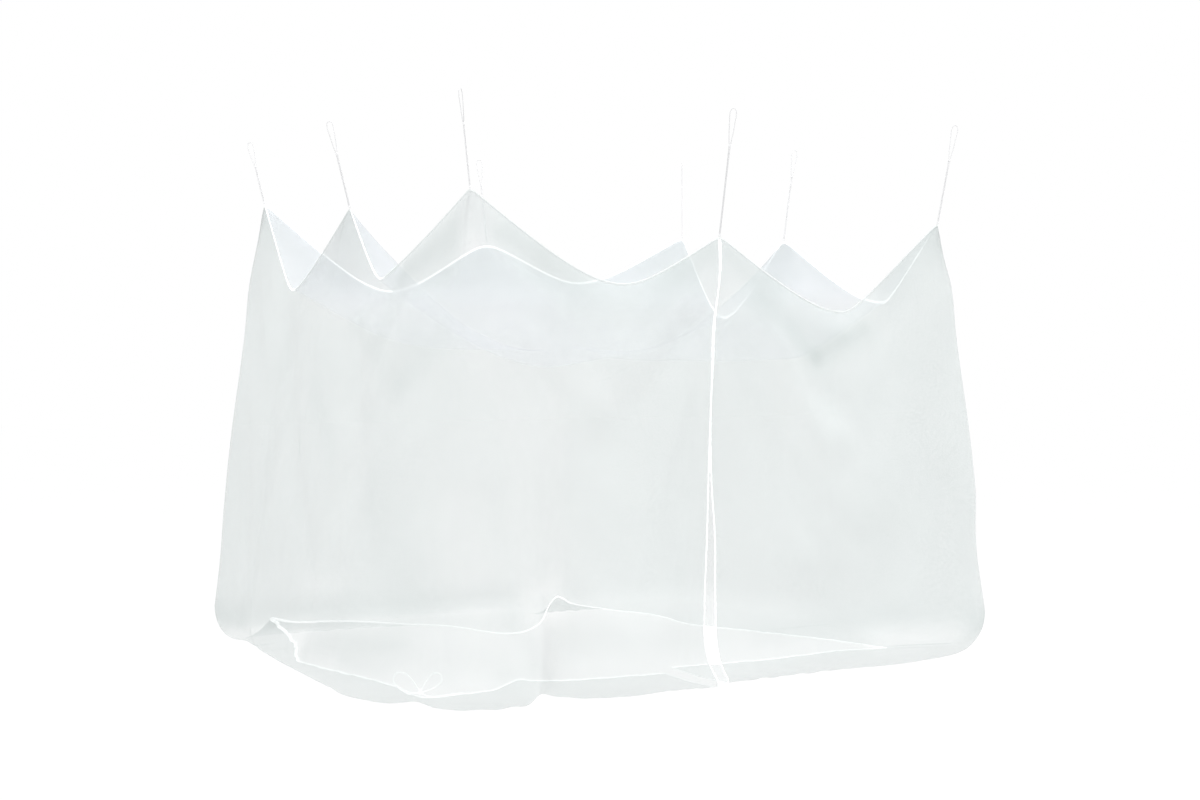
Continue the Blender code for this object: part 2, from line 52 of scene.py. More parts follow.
ROOF_LENGTH = 1.910
ROOF_WIDTH = 1.591
BELLY_HEIGHT = 1.076
TAPE_WIDE = 0.010
TAPE_THICK = 0.0024
DOOR_TAPE_WIDE = 0.006
SEWN_GAP = 0.0003
CORD_RADIUS = 0.0015
STRAND_APART = 0.0035
EYE_WIDE = 0.019
FOLD_TALL = 1.15
FOLD_LEAST = 0.012
FLARE_EASE = 0.75
LEAN_EASE = 0.62
SKIRT_EASE = 2.0
CORNER_ROUNDS = 2
DOOR_REACH = 0.35
ROOF_DROP_POWER = 3.0
SWAG_HEIGHT = 0.010
SWAG_PITCH = 0.42
SWAG_DEEPEN = 1.5
SWAG_FADE = 0.45
SPAN_METRES = 0.95
WALL_ROWS = 9
FOLD_ROWS = 3
SKIRT_ROWS = 3
LOOP_POINTS = 37
LOOP_DENSE = 1.7
BOW_POINTS = 48
KNOT_RADIUS = 0.0084

# The cloth's own small forms, which the solids don't have: sizes in metres, and the shares of
# the wall's height by which they are fully there.
WALL_ROW_EASE = 1.15
CREASES_FROM = 0.15
FINE_FROM = 0.06
PLEATS_FROM = 0.02
DOOR_STILL = 0.12
CLOTH_IN_TAPE = 0.0025
FINE_SWAG_HEIGHT = 0.0035
FINE_SWAG_PITCH = 0.17
PLEAT_HEIGHT = 0.0045
PLEATS = 3.4
PLEAT_BLUNT = 0.06
PLEAT_FADE = 0.26
PLEAT_FAN = 0.55
GATHER_OUT = 0.0028
GATHER_UP = 0.0022
GATHER_FADE = 0.07
GATHER_PITCH = 0.071
GATHER_CROSS = 0.113
GATHER_SWELL = 0.83
SKIRT_GATHER = 0.0040
HEM_CRUMPLE = 0.0032
CRUMPLE_PITCH = 0.17
CRUMPLE_CROSS = 0.094
ROOF_WAVES_SOON = 12

# The twist of the cords, waver of the tapes and puckers of the hem, and how finely each is
# drawn, in metres.
CORD_STEP = 0.0016
CORD_SIDES = 12
CORD_STRANDS = 3
CORD_PITCH = 0.009
CORD_LEAST = 0.90
CORD_LOBE = 0.14
LOOP_DRAWN = 400
BOW_DRAWN = 300
KNOT_DRAWN = 160
KNOT_TURNS = 2.2
KNOT_LONG = 0.0032
TAPE_STEP = 0.0035
TAPE_WAVER = 0.0003
WAVER_PITCH = 0.023
WAVER_CROSS = 0.041
TAPE_SWELL = 0.031
# How much narrower the tape is drawn where its shade is painted.
TAPE_SHADE_NARROWS = 0.35
# How much painted shade the door tapes carry.
DOOR_TAPE_SHADE = 0.5
HEM_STEP = 0.0032
HEM_SIDES = 12
HEM_PUCKER = 0.011
HEM_IN = 0.0060
HEM_HALF = 0.0065
HEM_THIN = 0.0010
HEM_ROUND = 0.0020

# Each facet of the solids is drawn this many times finer here.
FINE = 5

Peak = namedtuple("Peak", "name x y height crest lean_x lean_y eye_height eye_long turn")
PEAKS = (
    Peak("front_middle", -0.013, -1.00, 1.446, 0.03, -0.010, -0.092, 1.864, 0.125, -33),
    Peak("front_left", -1.000, -1.00, 1.560, 0.02, -0.045, -0.020, 1.863, 0.110, 30),
    Peak("left_middle", -1.000, 0.07, 1.557, 0.02, -0.077, 0.000, 1.852, 0.115, -33),
    Peak("back_left", -1.000, 1.00, 1.622, 0.02, -0.041, 0.041, 1.858, 0.095, -33),
    Peak("back_middle", 0.000, 1.00, 1.499, 0.16, 0.000, 0.067, 1.853, 0.110, -33),
    Peak("back_right", 1.000, 1.00, 1.560, 0.04, 0.010, 0.016, 1.891, 0.110, 57),
    Peak("right_middle", 1.000, 0.12, 1.510, 0.05, 0.057, 0.000, 1.880, 0.110, -33),
    Peak("front_right", 1.000, -1.00, 1.527, 0.02, 0.044, -0.044, 1.881, 0.130, -33),
)
PEAK_HEIGHTS = np.array([peak.height for peak in PEAKS + PEAKS[:1]])

Span = namedtuple("Span", "low_at low_height drawn facets round_before round_after")
SPANS = (
    Span(0.393, 1.285, 0.020, 12, 0.35, 0.35),
    Span(0.745, 1.312, 0.015, 10, 0.04, 0.30),
    Span(0.675, 1.297, 0.010, 9, 0.12, 0.20),
    Span(0.538, 1.309, 0.020, 12, 0.35, 0.35),
    Span(0.434, 1.360, 0.015, 11, 0.35, 0.35),
    Span(0.446, 1.220, 0.010, 9, 0.35, 0.35),
    Span(0.685, 1.256, 0.015, 10, 0.35, 0.12),
    Span(0.438, 1.209, 0.020, 11, 0.13, 0.35),
)

# Places round the net are counted in spans from the door. The next five tables are written in
# millimetres and in thousandths of a span.

# The foot: the place, the fold's x, y and height, the hem's x, y and height, and how far the
# fold turns in.
STATIONS = np.array([
    (0, -222, -1020, -6, -170, -700, 0, 28), (250, -370, -1045, -2, -330, -680, 0, 55),
    (450, -535, -1050, -4, -490, -655, 0, 58), (620, -700, -990, 0, -645, -650, 10, 55),
    (700, -765, -925, 8, -700, -645, 18, 45), (790, -860, -1010, -2, -790, -668, 0, 50),
    (900, -1000, -1020, -3, -925, -698, 0, 55), (1000, -1125, -945, -2, -1065, -712, 4, 60),
    (1060, -1150, -835, 6, -1085, -665, 6, 50), (1140, -1228, -745, -3, -1068, -600, 0, 50),
    (1230, -1280, -610, -3, -1045, -510, 0, 55), (1450, -1272, -390, 0, -1040, -330, 0, 55),
    (1720, -1240, -125, 0, -1058, -150, 0, 55), (2000, -1205, 130, 0, -1078, 80, 0, 55),
    (2120, -1190, 230, 0, -1078, 200, 0, 55), (2300, -1168, 370, 2, -1000, 400, 4, 60),
    (2600, -1132, 580, 2, -935, 575, 15, 70), (2850, -1118, 775, 2, -955, 675, 70, 85),
    (3000, -1108, 912, 0, -970, 695, 88, 95), (3150, -930, 950, 0, -893, 686, 70, 75),
    (3450, -645, 948, 0, -660, 686, 55, 60), (3750, -300, 942, 0, -300, 663, 15, 60),
    (4150, 165, 938, 0, 152, 630, 0, 60), (4250, 290, 938, 0, 245, 686, 80, 60),
    (4420, 450, 938, 0, 355, 715, 50, 60), (4650, 685, 938, 0, 535, 725, 12, 60),
    (4880, 945, 930, 0, 605, 705, 0, 70), (5000, 1085, 880, 0, 630, 655, 0, 80),
    (5200, 1140, 650, 0, 640, 500, 0, 70), (5500, 1145, 355, 0, 600, 285, 0, 65),
    (6000, 1150, -15, 0, 680, -15, 0, 65), (6600, 1158, -480, 0, 795, -430, 0, 70),
    (6880, 1160, -775, 6, 818, -630, 0, 90), (7000, 1092, -895, 10, 800, -685, 4, 100),
    (7120, 965, -985, 6, 730, -645, 0, 80), (7300, 710, -1022, 0, 650, -620, 0, 60),
    (7600, 340, -1015, 0, 325, -645, 0, 60), (8000, -130, -1000, 0, -75, -610, 0, 28),
]) / 1000

# The two edges that meet at the door: a height, and the x of the left and the right edge.
DOOR = np.array([
    (-20, -160, -105), (10, -172, -122), (50, -198, -150), (120, -218, -167), (250, -211, -163),
    (450, -184, -148), (650, -158, -144), (800, -137, -135), (910, -120, -120),
    (1030, -101, -101), (1130, -86, -86), (1250, -56, -56), (1350, -30, -30), (1446, -12, -12),
]) / 1000

# Creases of the wall: place and height of one end, place and height of the other, half
# width, and how far it stands out.
CREASES = np.array([
    (140, 1140, 750, 500, 90, -22), (60, 1300, 500, 900, 80, 16), (930, 1300, 520, 900, 80, 14),
    (900, 600, 950, 120, 70, -24), (1060, 1380, 1380, 950, 80, 16),
    (2500, 1080, 1720, 260, 90, -24), (1950, 1300, 1100, 320, 90, -18),
    (2800, 1300, 2550, 200, 80, 18), (3100, 1300, 3500, 800, 90, 16),
    (3900, 1250, 3600, 300, 90, -20), (4100, 1250, 4450, 700, 90, 18),
    (5080, 1300, 5400, 500, 90, -20), (5950, 1250, 5600, 600, 90, 18),
    (6100, 1250, 6600, 450, 90, -18), (7860, 1180, 7580, 780, 80, 22),
    (7580, 780, 7650, 400, 80, 20), (7100, 1250, 7400, 850, 80, 14),
    (7000, 1300, 7000, 600, 150, 22), (2960, 1350, 2950, 500, 150, 8),
]) / 1000

# Narrow folds that only the cloth shows, laid over the creases. The same columns.
NARROW_FOLDS = np.array([
    (300, 1220, 620, 860, 22, 6), (700, 1250, 500, 880, 22, 5), (120, 950, 400, 350, 20, 5),
    (860, 800, 930, 100, 18, -6), (960, 700, 1020, 100, 22, 6), (1200, 1300, 1550, 800, 22, 5),
    (1620, 1150, 1400, 300, 24, 5), (1850, 1350, 1600, 950, 20, 5),
    (2150, 1300, 2050, 400, 24, 5), (2600, 1200, 2300, 300, 22, -5),
    (7750, 1100, 7600, 700, 20, 6), (7520, 1050, 7640, 450, 18, 5),
    (7300, 1120, 7460, 850, 20, 4), (6950, 400, 6980, 80, 20, 5),
    (6400, 1100, 6700, 300, 24, -5), (5600, 1050, 5450, 250, 24, 5),
    (5050, 1000, 5100, 120, 22, 6), (4600, 1100, 4750, 250, 24, 5),
    (4050, 1000, 4100, 200, 22, -5), (3550, 1100, 3350, 250, 24, 5),
    (3050, 1100, 3020, 200, 22, 6),
]) / 1000

# Lines of the wall where the yarn lies denser and its colour is painted darker or, below 0,
# looser and painted lighter than in the rest: painted shade and light of the folds. The same
# columns, with the thousandths of density last.
DENSITY_AND_SHADE_LINES = np.array([
    # Under the roof seam, beside the peaks.
    (1420, 1310, 1090, 1420, 90, 950), (860, 1430, 580, 1300, 60, 950),
    (2360, 1290, 1860, 1250, 90, -350), (950, 1350, 900, 1100, 85, -650),
    (850, 1280, 720, 1220, 80, -150), (500, 1260, 240, 1230, 60, 350),
    (3060, 1560, 3320, 1380, 50, 400), (4550, 1330, 4970, 1540, 50, 500),
    (5720, 1330, 5970, 1460, 80, 900), (1000, 1540, 980, 1380, 30, -200),
    (50, 1400, 220, 1330, 65, 750), (7950, 1400, 7750, 1280, 65, 650),
    (6960, 1490, 7270, 1280, 60, 300), (1900, 1240, 950, 1200, 60, -300),
    (220, 1210, 50, 1210, 50, -250),
    # The swags.
    (1800, 1160, 1220, 960, 50, 280), (1220, 960, 1040, 1130, 45, 220),
    (1480, 1110, 1160, 1070, 80, 120), (7840, 1240, 7620, 1060, 45, 750),
    (7600, 1050, 7380, 1150, 40, 750), (7680, 1160, 7480, 1140, 50, 300),
    (770, 1100, 470, 920, 50, -120), (450, 920, 250, 1020, 50, -100),
    (620, 1200, 280, 1250, 30, 150),
    # Upright streaks.
    (150, 1210, 180, 390, 100, 90), (280, 740, 380, 290, 50, 60),
    (670, 920, 670, 270, 35, -220), (900, 880, 850, 280, 30, 120),
    (1000, 600, 950, 350, 70, -220), (850, 860, 800, 350, 45, -100),
    (900, 1190, 880, 930, 50, -80), (1960, 950, 1720, 710, 45, 220),
    (1260, 630, 1120, 360, 80, 200), (2600, 1090, 2420, 250, 40, 120),
    (1720, 910, 1420, 700, 40, -80), (7890, 1070, 7890, 920, 50, 160),
    (7580, 950, 7560, 820, 40, 140), (800, 950, 800, 400, 210, -340),
    (7760, 970, 7650, 690, 50, -140), (7640, 630, 7640, 460, 35, -80),
    (7320, 1000, 7320, 350, 350, 170),
    # Low on the wall, beside the drawn-in hem.
    (1620, 110, 1140, 180, 50, 500), (850, 250, 700, 70, 35, 220),
    (7470, 90, 7220, 100, 45, -500), (2950, 110, 2550, 100, 45, 250),
    (4360, 90, 4240, 60, 50, -250), (7120, 120, 6950, 100, 50, 400),
    (600, 200, 0, 150, 60, 120), (1500, 200, 0, 170, 75, 220),
    (8000, 160, 7150, 160, 60, 200), (1120, 270, 850, 270, 35, 280),
    (1800, 300, 1400, 320, 50, -250), (1260, 110, 1150, 100, 30, 260),
    (860, 100, 780, 100, 35, 260), (1070, 40, 930, 50, 35, -120),
    (7850, 150, 7400, 180, 40, 180), (1050, 120, 900, 120, 50, 150),
]) / 1000

# Places round the seam, and how much painted shade greys the tape there.
TAPE_SHADE_PLACES = ((0.0, 0.9), (1.70, 1.0), (1.80, 0.0), (1.96, 0.0), (2.0, 1.0), (2.62, 1.0),
             (2.72, 0.0), (6.9, 0.0), (7.0, 1.0), (8.0, 0.9))

# Slow waves of the hanging cloth: turns per metre along and down, phase in turns, height.
CLOTH_WAVES = np.array([
    (0.9, 0.5, 0.13, 0.0030), (1.7, -0.4, 0.57, 0.0022), (2.6, 0.8, 0.31, 0.0014),
    (0.5, 1.4, 0.83, 0.0024), (3.7, -1.1, 0.07, 0.0009), (5.3, 0.6, 0.66, 0.0006),
])
ROOF_WAVES = np.array([
    (1.3, 0.7, 0.21, 0.0040), (0.8, 1.9, 0.64, 0.0032), (2.9, -1.2, 0.38, 0.0016),
    (1.9, 3.1, 0.90, 0.0014), (4.7, 0.9, 0.11, 0.0008),
])

# The level way in which the net is seen, from its front left.
VIEW_WAY = (0.5400, 0.8415)

# The bow: across, up and towards the viewer, in millimetres.
BOW_AT = Vector((-1.056, -0.655, 0.010))
BOW_ACROSS = Vector((VIEW_WAY[1], -VIEW_WAY[0], 0.0))
BOW_TOWARDS = -Vector((*VIEW_WAY, 0.0))
BOW_ROUTE = (
    (0, 0, 4.2), (26, 8, 4.2), (52, 20, 3.6), (68, 40, 2.6), (62, 58, 1.6), (42, 60, 1.0),
    (24, 42, 0.6), (10, 20, 0.3), (0, 3, 0.0), (-16, -2, -0.6), (-42, 4, -1.6), (-70, 18, -2.2),
    (-84, 40, -2.6), (-74, 58, -3.0), (-50, 60, -3.4), (-28, 42, -3.7), (-12, 20, -4.0),
    (0, 2, -4.2),
)
BOW_LEFT_AT = 1.10
BOW_RIGHT_AT = 0.90
BOW_HEM_REACH = 0.0020


# ----------
# Lines and surfaces of the net.

def unit(rows):
    """Each vector divided by its own length."""
    return rows / np.linalg.norm(rows, axis=-1, keepdims=True)


def running(points):
    """How long a line is from its start to each of its points."""
    return np.append(0, np.cumsum(np.linalg.norm(np.diff(points, axis=0), axis=1)))


def running_down(surface):
    """How long each column of a surface is from its first row to each of its points."""
    steps = np.diff(surface, axis=0, prepend=surface[:1])
    return np.cumsum(np.linalg.norm(steps, axis=2), axis=0)


def read_rows(at, knots, rows):
    """Rows of three numbers read between knots, in straight steps."""
    return np.column_stack([np.interp(at, knots, rows[:, axis]) for axis in range(3)])


def sine(at, pitch, phase=0.0):
    """A sine that repeats at each pitch."""
    return np.sin(2 * math.pi * at / pitch + phase)


def shares_down(rows):
    """The shares at which so many rows of facets are drawn."""
    return np.linspace(0, 1, rows * FINE + 1)


def inside_of(at, first, last, ease):
    """1 between two limits and 0 outside, with a straight ease inside each limit."""
    return np.clip(np.minimum(at - first, last - at) / ease, 0, 1)


def smooth(knots, values, at):
    """The cubic through all values, whose slope at a knot is that of its neighbours."""
    slopes = np.gradient(values, knots, axis=0)
    left = np.clip(np.searchsorted(knots, at, side="right") - 1, 0, len(knots) - 2)
    width = (knots[left + 1] - knots[left])[:, None]
    part = (at - knots[left])[:, None] / width
    start = (1 + 2 * part) * (1 - part) ** 2
    start_slope = part * (1 - part) ** 2
    end_slope = part ** 2 * (part - 1)
    return (start * values[left] + (1 - start) * values[left + 1]
            + width * (start_slope * slopes[left] + end_slope * slopes[left + 1]))


def peak_point(peak):
    """Where the roof seam is carried at one peak."""
    return np.array([peak.x * ROOF_LENGTH / 2, peak.y * ROOF_WIDTH / 2, peak.height])


def edge_of_span(index):
    """The roof edge from one peak to the next: its height rises from the low to each peak as a
    hyperbola, rounded at both ends, and it is drawn in by a parabola of its share."""
    span = SPANS[index]
    start, end = PEAKS[index], PEAKS[(index + 1) % len(PEAKS)]
    share = np.linspace(0, 1, span.facets * FINE + 1)
    falling = share < span.low_at
    run = np.where(falling, 1 - share / span.low_at, (share - span.low_at) / (1 - span.low_at))
    top = np.where(falling, start.height, end.height)
    crest = np.where(falling, start.crest, end.crest)
    run = (np.hypot(1, crest) - np.hypot(1 - run, crest)) / (np.hypot(1, crest) - crest)
    bend = np.where(falling, span.round_before, span.round_after)
    rise = (np.hypot(run, bend) - bend) / (np.hypot(1, bend) - bend)
    first, last = peak_point(start), peak_point(end)
    line = first + share[:, None] * (last - first)
    line[:, 2] = span.low_height + (top - span.low_height) * rise
    along = unit((last - first)[:2])
    inward = np.array([along[1], -along[0]])
    line[:, :2] += 4 * span.drawn * (share * (1 - share))[:, None] * inward
    return line


def strip_places():
    """Where the columns of the wall strip are, counted in spans from the door."""
    places = [index + np.arange(span.facets * FINE) / (span.facets * FINE)
              for index, span in enumerate(SPANS)]
    return np.append(np.concatenate(places), len(SPANS))


def seam_line():
    """The whole roof seam, from the door peak round and back to it."""
    lines = [edge_of_span(index) for index in range(len(SPANS))]
    return np.concatenate([line[:-1] for line in lines] + [lines[-1][-1:]])


def crease_rise(creases, places, heights):
    """How far the creases stand out: a bell curve of the distance to each crease's line."""
    total = np.zeros(np.broadcast(places, heights).shape)
    for at_a, height_a, at_b, height_b, half_width, rise in creases:
        start = np.array([at_a * SPAN_METRES, height_a])
        line = np.array([at_b * SPAN_METRES, height_b]) - start
        across = places * SPAN_METRES - start[0]
        down = heights - start[1]
        share = np.clip((across * line[0] + down * line[1]) / line.dot(line), 0, 1)
        gap = np.hypot(across - share * line[0], down - share * line[1])
        total += rise * np.exp(-(gap / half_width) ** 2)
    return total


def sag_share(places, edge_heights):
    """How far the edge hangs at each place: 0 on the line between its peaks, 1 at the low."""
    shares = places % 1.0
    spans = np.minimum(places.astype(int), len(SPANS) - 1)
    level = PEAK_HEIGHTS[spans] * (1 - shares) + PEAK_HEIGHTS[spans + 1] * shares
    low = np.array([span.low_height for span in SPANS])[spans]
    return np.clip((level - edge_heights) / (level - low + SEWN_GAP), 0, 1)


def swag_rise(places, edge_heights, heights, height=SWAG_HEIGHT, pitch=SWAG_PITCH):
    """The hollows that hang under each low of the edge: a sine of the way below the edge,
    stretched where the edge hangs low, times a fading exponential."""
    sag = sag_share(places, edge_heights)
    below = (edge_heights - heights) / (1 + SWAG_DEEPEN * sag)
    return height * sag * sine(below, pitch / 2) * np.exp(-below / SWAG_FADE)


def peak_pleats(places, heights):
    """Small pleats that fan out below each peak: a cosine of the place over the depth below
    the peak, times an exponential of that depth."""
    nearest = np.round(places)
    depth = np.maximum(PEAK_HEIGHTS[nearest.astype(int)] - heights, 0.0)
    fan = (places - nearest) * SPAN_METRES / (depth + PLEAT_BLUNT)
    fade = np.exp(-depth / PLEAT_FADE - (fan / PLEAT_FAN) ** 2)
    return PLEAT_HEIGHT * np.cos(2 * math.pi * PLEATS * fan) * fade


def waves(table, along, down):
    """A sum of sines over both ways of the cloth."""
    turns = along[..., None] * table[:, 0] + down[..., None] * table[:, 1] + table[:, 2]
    return (table[:, 3] * np.sin(2 * math.pi * turns)).sum(axis=-1)


def foot_lines(places):
    """The fold, the hem and the fold's turn at each place."""
    foot = smooth(STATIONS[:, 0], STATIONS[:, 1:], places)
    return foot[:, :3], foot[:, 3:6], foot[:, 6]


def strip_surface(places, tops):
    """The wall strip as rows of points: down from the seam, out along the flare with the
    corners growing round, round the fold through a quarter ellipse, and in along the skirt
    to the hem. Narrow folds, pleats and waves stand out along the level outward way, and the
    skirt's gathers rise and fall."""
    fold, hem, turn = foot_lines(places)
    inward = unit(hem[:, :2] - fold[:, :2])
    rounded = tops[:, :2].copy()
    for _ in range(CORNER_ROUNDS * FINE ** 2):
        rounded[1:-1] = (rounded[:-2] + 2 * rounded[1:-1] + rounded[2:]) / 4
    round_tall = FOLD_LEAST + FOLD_TALL * turn
    knee = fold[:, 2] + round_tall
    metres = places * SPAN_METRES
    off_door = inside_of(places, 0, len(SPANS), DOOR_STILL)
    gather = sine(metres, GATHER_PITCH) + 0.6 * sine(metres, GATHER_CROSS, 1)
    gather = gather * (0.5 + 0.5 * sine(metres, GATHER_SWELL, 2)) * off_door
    edge = tops[:, 2]
    rows = []
    for share in shares_down(WALL_ROWS) ** WALL_ROW_EASE:
        height = edge + share * (knee - edge)
        held = min(1.0, share / CREASES_FROM)
        rise = held * (crease_rise(CREASES, places, height) + swag_rise(places, edge, height))
        fine = (crease_rise(NARROW_FOLDS, places, height) + waves(CLOTH_WAVES, metres, height)
                + swag_rise(places, edge, height, FINE_SWAG_HEIGHT, FINE_SWAG_PITCH)
                + GATHER_OUT * gather * np.exp(-(height - knee) / GATHER_FADE))
        rise += min(1.0, share / FINE_FROM) * off_door * fine
        rise += min(1.0, share / PLEATS_FROM) * off_door * peak_pleats(places, height)
        start = tops[:, :2] + (rounded - tops[:, :2]) * math.sqrt(share)
        out = fold[:, :2] - start
        flare = (out * inward).sum(axis=1)[:, None] * inward
        plan = (start + flare * share ** FLARE_EASE + (out - flare) * share ** LEAN_EASE
                - inward * rise[:, None])
        rows.append(np.column_stack([plan, height]))
    knee_rise = rise[:, None]
    for share in shares_down(FOLD_ROWS)[1:]:
        angle = share * math.pi / 2
        plan = (fold[:, :2] + inward * (turn * (1 - math.cos(angle)))[:, None]
                - inward * knee_rise * (1 - share))
        sole = fold[:, 2] + GATHER_UP * gather * share
        rows.append(np.column_stack([plan, sole + round_tall * (1 - math.sin(angle))]))
    under = fold[:, :2] + inward * turn[:, None]
    crumple = off_door * (
        sine(metres, CRUMPLE_PITCH, 0.7) + 0.6 * sine(metres, CRUMPLE_CROSS, 2.1))
    for share in shares_down(SKIRT_ROWS)[1:]:
        plan = (under + share * (hem[:, :2] - under)
                + inward * (HEM_CRUMPLE * share ** 2 * crumple)[:, None])
        lift = fold[:, 2] + share ** SKIRT_EASE * (hem[:, 2] - fold[:, 2])
        ripple = (GATHER_UP * (1 - share) + SKIRT_GATHER * share * (1.15 - share)) * gather
        rows.append(np.column_stack([plan, lift + ripple]))
    return door_drawn(places, np.array(rows))


def door_drawn(places, strip):
    """The strip with its two ends drawn along the front to where the door's edges hang. The
    pull dies out along the strip, and along the skirt."""
    knots = DOOR[:, 0]
    fade = np.ones(len(strip))
    fade[-SKIRT_ROWS * FINE:] = 1 - shares_down(SKIRT_ROWS)[1:]
    for end, side, column in ((0, -1, 1), (-1, 1, 2)):
        edge_heights = np.clip(strip[:, end, 2], knots[0], knots[-1])
        target = smooth(knots, DOOR[:, [column]], edge_heights)[:, 0]
        pull = fade * (target + side * (DOOR_TAPE_WIDE + 2 * SEWN_GAP) - strip[:, end, 0])
        near = np.clip(1 - abs(places - places[end]) / DOOR_REACH, 0, 1) ** 2
        strip[..., 0] += pull[:, None] * near
    return strip


def strip_tops(seam):
    """The strip's upper edge, inside the tape, with both ends short of the door peak by the
    width of their door tape."""
    tops = seam.copy()
    back_off = DOOR_TAPE_WIDE + 2 * SEWN_GAP
    for end, inner in ((0, 1), (-1, -2)):
        step = seam[inner] - seam[end]
        tops[end] = seam[end] + step * back_off / np.linalg.norm(step[:2])
    tops[:, 2] -= CLOTH_IN_TAPE
    return tops


def patch(edges, near, far, west, east):
    """The blend of four edges, by each one's share, less that of their corners."""
    front, back, left, right = edges
    return (near * front[None] + far * back[None] + west * left[:, None] + east * right[:, None]
            - near * (west * front[0] + east * front[-1])
            - far * (west * back[0] + east * back[-1]))


def roof_surface(seam):
    """The roof as a grid between its four edges. Each edge's height reaches into the roof with
    a share that is a power of the way to the opposite edge, so that the peaks draw ridges and
    the middle hangs as a belly; slow waves are added, which die out at the seam."""
    first = np.cumsum([0] + [span.facets * FINE for span in SPANS])
    front = np.concatenate([seam[first[0]:first[1] + 1][::-1][:-1],
                            seam[first[7]:first[8] + 1][::-1]])
    left = seam[first[1]:first[3] + 1]
    edges = (front, seam[first[3]:first[5] + 1], left, seam[first[5]:first[7] + 1][::-1])
    across = np.linspace(0, 1, len(front))[None, :, None]
    deep = np.linspace(0, 1, len(left))[:, None, None]
    grid = patch(edges, 1 - deep, deep, 1 - across, across)
    near = 1 - np.clip(grid[..., 1] / ROOF_WIDTH + 0.5, 0, 1)
    west = 1 - np.clip(grid[..., 0] / ROOF_LENGTH + 0.5, 0, 1)
    near[0], near[-1], west[:, 0], west[:, -1] = 1, 0, 1, 0
    shares = [way ** ROOF_DROP_POWER for way in (near, 1 - near, west, 1 - west)]

    def height_over(floor):
        return floor + patch([edge[:, 2] - floor for edge in edges], *shares)

    middle = (len(left) // 2, len(front) // 2)
    at_zero, at_one = height_over(0.0)[middle], height_over(1.0)[middle]
    grid[..., 2] = height_over((BELLY_HEIGHT - at_zero) / (at_one - at_zero))
    inside = [np.clip(ROOF_WAVES_SOON * way * (1 - way), 0, 1) for way in (near, west)]
    grid[..., 2] += inside[0] * inside[1] * waves(ROOF_WAVES, grid[..., 0], grid[..., 1])
    return grid


def along_route(route, count, dense=1.0):
    """Points read from the smooth curve through a route's own points: at even steps, or with
    dense over 1, in steps that are shorter towards the middle of the route."""
    route = np.asarray(route, dtype=float)
    knots = running(route)
    steps = np.linspace(-1, 1, count)
    steps = np.sign(steps) * abs(steps) ** dense
    return smooth(knots, route, knots[-1] * (1 + steps) / 2)


def even_line(points, step, closed=False):
    """A line read at even steps along its own length, and that length at each step."""
    if closed:
        points = np.vstack([points, points[:1]])
    length = running(points)
    at = np.linspace(0, length[-1], int(length[-1] / step) + 1)
    if closed:
        at = at[:-1]
    return read_rows(at, length, points), at


def loop_eye(peak):
    """The top of a loop's eye, in the net's frame."""
    point = peak_point(peak)
    return np.array([point[0] + peak.lean_x, point[1] + peak.lean_y, peak.eye_height])


def loop_axes(peak):
    """A loop's foot, the way up to its eye, the way across the eye, and its length."""
    foot = peak_point(peak) + np.array([0, 0, TAPE_WIDE / 2 + SEWN_GAP])
    top = loop_eye(peak)
    foot[2] += CORD_RADIUS * np.linalg.norm((top - foot)[:2]) / np.linalg.norm(top - foot)
    length = np.linalg.norm(top - foot)
    rise = (top - foot) / length
    heading = math.radians(peak.turn)
    side = np.array([math.cos(heading), math.sin(heading), 0.0])
    return foot, rise, unit(side - rise * side.dot(rise)), length


def loop_route(peak):
    """A hanging loop: up from the seam as two strands side by side, open in a long eye that
    widens from its throat, round its top and back down."""
    foot, rise, side, length = loop_axes(peak)
    bend = EYE_WIDE / 2
    throat = length - peak.eye_long
    half = STRAND_APART / 2
    flank = [(0.0, half), (throat * 0.5, half),
             (throat - 0.018, half + 0.0002), (throat, half + 0.0004),
             (throat + peak.eye_long * 0.3, half + (bend - half) * 0.55),
             (throat + peak.eye_long * 0.6, half + (bend - half) * 0.90),
             (length - bend, bend)]
    arc = [(length - bend + bend * math.sin(angle), bend * math.cos(angle))
           for angle in np.radians([36, 72])]
    up = flank + arc
    down = [(height, -out) for height, out in reversed(up)]
    return [foot + rise * height + side * out for height, out in up + [(length, 0.0)] + down]


def bow_route():
    """The drawcord outside the hem: from the hem's left slit, round both ears of the bow and
    into the hem's right slit."""
    ends = []
    for place in (BOW_LEFT_AT, BOW_RIGHT_AT):
        fold, hem, _ = foot_lines(np.array([place]))
        inward = unit((hem - fold)[0, :2])
        reach = CORD_RADIUS + BOW_HEM_REACH
        ends.append(Vector((*(hem[0, :2] + inward * reach), hem[0, 2] + CORD_RADIUS)))
    ears = [BOW_AT + (BOW_ACROSS * across + Vector((0, 0, up)) + BOW_TOWARDS * towards) / 1000
            for across, up, towards in BOW_ROUTE]
    return [ends[0]] + ears + [ends[1]]


PLACE = -loop_eye(PEAKS[0]) + np.array([0, 0, CORD_RADIUS])


# ----------
# Meshes from arrays of points.

def make_piece(name, points, faces, flat, finish):
    """A piece from its points, its faces (an array of quads, then one of triangles) and a
    flat place in metres for each point, which becomes its UV map."""
    mesh = bpy.data.meshes.new(name)
    mesh.vertices.add(len(points))
    mesh.vertices.foreach_set("co", (points + PLACE).astype(np.float32).ravel())
    corners = np.concatenate([some.ravel() for some in faces])
    counts = np.concatenate([np.full(len(some), some.shape[1]) for some in faces])
    mesh.loops.add(len(corners))
    mesh.loops.foreach_set("vertex_index", corners)
    mesh.polygons.add(len(counts))
    mesh.polygons.foreach_set("loop_start", np.cumsum(counts) - counts)
    mesh.polygons.foreach_set("loop_total", counts)
    layer = mesh.uv_layers.new(name="flat")
    layer.data.foreach_set("uv", flat[corners].astype(np.float32).ravel())
    mesh.update(calc_edges=True)
    mesh.validate()
    mesh.shade_smooth()
    mesh.materials.append(finish)
    piece = bpy.data.objects.new(name, mesh)
    scene.collection.objects.link(piece)
    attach(piece, "root")
    return piece


